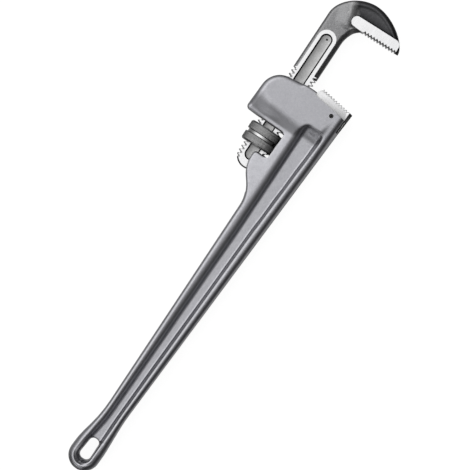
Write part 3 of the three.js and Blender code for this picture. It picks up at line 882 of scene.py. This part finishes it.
def make_heel_jaw_pin():
    """A rolled pin whose bore and slit, open at both chamfered ends, all but close in its middle."""
    ends = (
        (PIN_HALF, 0.4, PIN_BORE, PIN_SLIT),
        (PIN_HALF - 0.8, 0, PIN_BORE, PIN_SLIT),
        (PIN_HALF - 4, 0, 0.1, 0.05),
    )
    rings = []
    for height, shrink, bore, slit in [(-end[0], *end[1:]) for end in ends] + list(ends[::-1]):
        half_slit = math.asin(slit / 2 / PIN_RADIUS)
        outer = [(a, PIN_RADIUS - shrink) for a in np.linspace(half_slit, 2 * math.pi - half_slit, 40)]
        inner = [(a, bore) for a in np.linspace(2 * math.pi - 2 * half_slit, 2 * half_slit, 40)]
        rings.append([(PIN_AT[0] + r * math.cos(a), PIN_AT[1] + r * math.sin(a), height)
                      for a, r in outer + inner])
    # Its near-black finish is painted shade for the hole it sits in.
    pin = loft("heel_jaw_roll_pin", [np.array(ring) for ring in rings], "pin")
    return finished(pin, HANDLE_FRAME, "handle", "heel_jaw_pin")


# ---------- Nut ----------


def knurled(x, angle):
    """Depth of the diamond knurl: two families of helical V-grooves."""
    turn = KNURL_TEETH * angle / (2 * math.pi)
    depth = np.zeros(angle.shape)
    for lean in (1, -1):
        wave = (turn + lean * x / KNURL_LEAD) % 1
        depth = np.maximum(depth, 1 - np.abs(wave - 0.5) * 2.6)
    return KNURL_DEPTH * np.maximum(depth, 0)


def nut_radius(x):
    """The nut's plain outside: two bands, a rounded groove and chamfered ends. Also where it's knurled."""
    edge = np.maximum(np.abs(x) - (NUT_HALF - NUT_CHAMFER), 0)
    groove = smooth((NUT_GROOVE_HALF + 0.5 - np.abs(x)) / 0.9)
    radius = NUT_RADIUS - edge - NUT_GROOVE_DEPTH * groove
    inside_chamfer = smooth((NUT_HALF - NUT_CHAMFER - np.abs(x)) / 0.3)
    return radius, inside_chamfer * smooth((np.abs(x) - NUT_GROOVE_HALF - 0.5) / 0.3)


def make_nut():
    band = np.linspace(NUT_GROOVE_HALF + 0.3, NUT_HALF - NUT_CHAMFER, 30)
    half_rows = np.concatenate([[0, NUT_GROOVE_HALF * 0.5, NUT_GROOVE_HALF - 0.4, NUT_GROOVE_HALF - 0.1], band,
                                [NUT_HALF - 0.7, NUT_HALF - 0.05, NUT_HALF]])
    rows = np.concatenate([-half_rows[:0:-1], half_rows])
    sides = KNURL_TEETH * KNURL_STEPS
    angle = np.linspace(0, 2 * math.pi, sides, endpoint=False)
    rings = []
    for x in rows:
        radius, marked = nut_radius(x)
        r = radius - marked * knurled(x, angle)
        rings.append(np.column_stack([np.full(sides, x), r * np.cos(angle), r * np.sin(angle)]))
    nut = loft("knurled_nut", rings, "nut")
    for face in nut.data.polygons:
        if abs(face.center.x) < NUT_GROOVE_HALF and face.center.y ** 2 + face.center.z ** 2 > 1:
            face.material_index = FINISH_INDEX["turned"]
    combine(nut, "DIFFERENCE", [screw("bore", THREAD_CLEARANCE)])
    return finished(nut, JAW_FRAME, "adjusting_nut", "adjusting_nut", sharp=50)


# ---------- Springs ----------


def make_flat_spring():
    """A leaf with a hooked foot, bored for its stud."""
    far = LEAF_NEAR - LEAF_THICKNESS
    profile = outline([
        (LEAF_START, LEAF_NEAR, 1.4), (LEAF_START, far - LEAF_FOOT),
        (LEAF_START + LEAF_THICKNESS, far - LEAF_FOOT), (LEAF_START + LEAF_THICKNESS, far, 0.4),
        (LEAF_END, far), (LEAF_END, LEAF_NEAR),
    ])
    leaf = prism("leaf_spring", profile, -LEAF_HALF, LEAF_HALF, "spring")
    bore = lathe("bore", [(far - 1, 2.1), (LEAF_NEAR - 1.2, 2.1), (LEAF_NEAR - 0.05, 3.5),
                          (LEAF_NEAR + 1, 3.5)], "y", 48, "spring", (STUD_X, 0))
    combine(leaf, "DIFFERENCE", [bore])
    soften(leaf, 0.2)
    return finished(leaf, JAW_FRAME, "flat_spring", "flat_spring")


def make_spring_stud():
    shoulder = LEAF_NEAR - 1.5
    profile = [(shoulder - 6.5, 0.01), (shoulder - 6.5, 0.9), (shoulder - 6.2, 1.25), (shoulder - 5.8, 1.4),
               (shoulder - 1.1, 1.4), (shoulder - 1.1, 2.35), (shoulder - 0.95, 2.5), (shoulder, 2.5),
               (shoulder, 1.8), (LEAF_NEAR - 0.9, 1.8), (LEAF_NEAR - 0.05, 3.2), (LEAF_NEAR - 0.05, 0.01)]
    stud = lathe("coil_stud", profile, "y", 40, "pin", (STUD_X, 0))
    return finished(stud, JAW_FRAME, "flat_spring", "spring_stud")


def make_coil_spring():
    """A wire coil whose end turns lie closed."""
    low, high = COIL_BOTTOM + WIRE_RADIUS, COIL_TOP - WIRE_RADIUS
    rings = []
    for share in np.linspace(0, 1, COIL_TURNS * 36 + 1):
        angle = 2 * math.pi * COIL_TURNS * share
        climb = low + (high - low) * mixed(share, smooth(share), 0.5)
        middle = np.array([COIL_X + COIL_RADIUS * math.cos(angle), climb, COIL_RADIUS * math.sin(angle)])
        out = np.array([math.cos(angle), 0, math.sin(angle)])
        up = np.array([0, 1, 0])
        rings.append([middle + WIRE_RADIUS * (math.cos(a) * out + math.sin(a) * up)
                      for a in np.linspace(0, 2 * math.pi, 14, endpoint=False)])
    coil = loft("coil_spring_wire", [np.array(ring) for ring in rings], "spring")
    finished(coil, HANDLE_FRAME, "handle", "coil_spring")
    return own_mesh(coil)


# ---------- Studio ----------

CAMERA_LENS = 200                 # millimetres, on a 36 mm sensor
VIEW_WIDTH = 0.5123               # metres of the wrench's plane across the picture
VIEW_CENTRE = Vector((0.0076, -0.0206))
LIGHT_STRENGTH = 1.8              # of the studio straight overhead
VIEW_TURN = math.radians(-54.5)   # the handle runs up to the right


def make_camera():
    data = bpy.data.cameras.new("camera")
    data.lens = CAMERA_LENS
    data.clip_end = 100
    camera = bpy.data.objects.new("camera", data)
    middle = (cad_bounds[0].z + cad_bounds[1].z) / 2
    distance = VIEW_WIDTH * CAMERA_LENS / data.sensor_width
    camera.location = (VIEW_CENTRE.x, VIEW_CENTRE.y, middle + distance)
    camera.rotation_euler = (0, 0, VIEW_TURN)
    bpy.context.scene.collection.objects.link(camera)
    bpy.context.scene.camera = camera


def make_floor():
    """A pale floor that glows, so that it stays near white, and that the metal doesn't mirror."""
    bpy.ops.mesh.primitive_circle_add(vertices=96, radius=12, fill_type="NGON", location=(0, 0, -0.0003))
    floor = bpy.context.object
    floor.name = "floor"
    material = bpy.data.materials.new("pale_floor")
    material.use_nodes = True
    shader = material.node_tree.nodes["Principled BSDF"]
    shader.inputs["Base Color"].default_value = grey(0.12)
    shader.inputs["Roughness"].default_value = 0.9
    shader.inputs["Specular IOR Level"].default_value = 0.0
    shader.inputs["Emission Color"].default_value = grey(1)
    shader.inputs["Emission Strength"].default_value = 0.93
    floor.data.materials.append(material)
    floor.visible_glossy = False
    floor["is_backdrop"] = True


# Brightness of the studio by angle from straight up, in degrees: towards the handle's back edge (positive)
# or its front (negative), and towards the jaws (positive) or the handle's end (negative).
ACROSS = (
    (-180, 0.34), (-150, 0.34), (-120, 0.26), (-95, 0.03), (-75, 0.02), (-50, 0.1), (-30, 0.28), (-12, 0.62),
    (0, 1), (12, 1.62), (30, 1.85), (50, 1.45), (70, 0.7), (90, 0.3), (120, 0.2), (150, 0.3), (180, 0.34),
)
ALONG = (
    (-90, 1.1), (-78, 1), (-62, 0.2), (-48, 0.11), (-25, 0.78), (0, 1), (25, 0.8), (50, 0.45), (80, 0.2),
    (90, 0.2),
)


def falloff(nodes, angle, stops, span):
    """A smooth curve near the stops (degrees, brightness), for an angle in radians within half a span."""
    share = nodes.remap(angle, -math.radians(span / 2), math.radians(span / 2))
    curve = nodes.add("ShaderNodeValToRGB", {0: share})
    ramp = nodes.tree.nodes[-1].color_ramp
    ramp.interpolation = "B_SPLINE"
    brightest = max(level for _, level in stops)
    while len(ramp.elements) < len(stops):
        ramp.elements.new(0.5)
    for element, (degrees, level) in zip(ramp.elements, stops):
        element.position = 0.5 + degrees / span
        element.color = grey(level / brightest)
    return nodes.math("MULTIPLY", curve, brightest)


def make_light():
    """The studio, as a world gradient: broad and soft overhead, brightest towards the handle's back edge,
    dark low along its front, and lit again near the horizon behind the handle's end. The camera itself
    sees plain white.
    """
    world = bpy.data.worlds.new("studio")
    bpy.context.scene.world = world
    world.use_nodes = True
    nodes = Nodes(world.node_tree)
    place = nodes.add("ShaderNodeTexCoord", output=0)
    nodes.add("ShaderNodeSeparateXYZ", {0: place})
    towards_jaws, towards_back, upwards = nodes.tree.nodes[-1].outputs
    across = falloff(nodes, nodes.math("ARCTAN2", towards_back, upwards), ACROSS, 360)
    along = falloff(nodes, nodes.math("ARCSINE", towards_jaws), ALONG, 180)
    light = nodes.math("MULTIPLY", nodes.math("MULTIPLY", across, along), LIGHT_STRENGTH)
    seen = nodes.add("ShaderNodeLightPath", output=0)
    shown = nodes.add("ShaderNodeMix", {0: seen, 2: light, 3: 1.0}, data_type="FLOAT")
    colour = nodes.add("ShaderNodeCombineColor", {0: shown, 1: shown, 2: shown})
    background = world.node_tree.nodes["Background"]
    world.node_tree.links.new(colour, background.inputs["Color"])
    bpy.context.scene.view_settings.view_transform = "Standard"


make_camera()
make_light()
make_floor()
make_handle()
make_hook_jaw()
make_heel_jaw()
make_heel_jaw_pin()
make_nut()
make_flat_spring()
make_spring_stud()
make_coil_spring()

shown_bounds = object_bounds()
{"cad": [list(corner) for corner in cad_bounds], "shown": [list(c) for c in shown_bounds]}
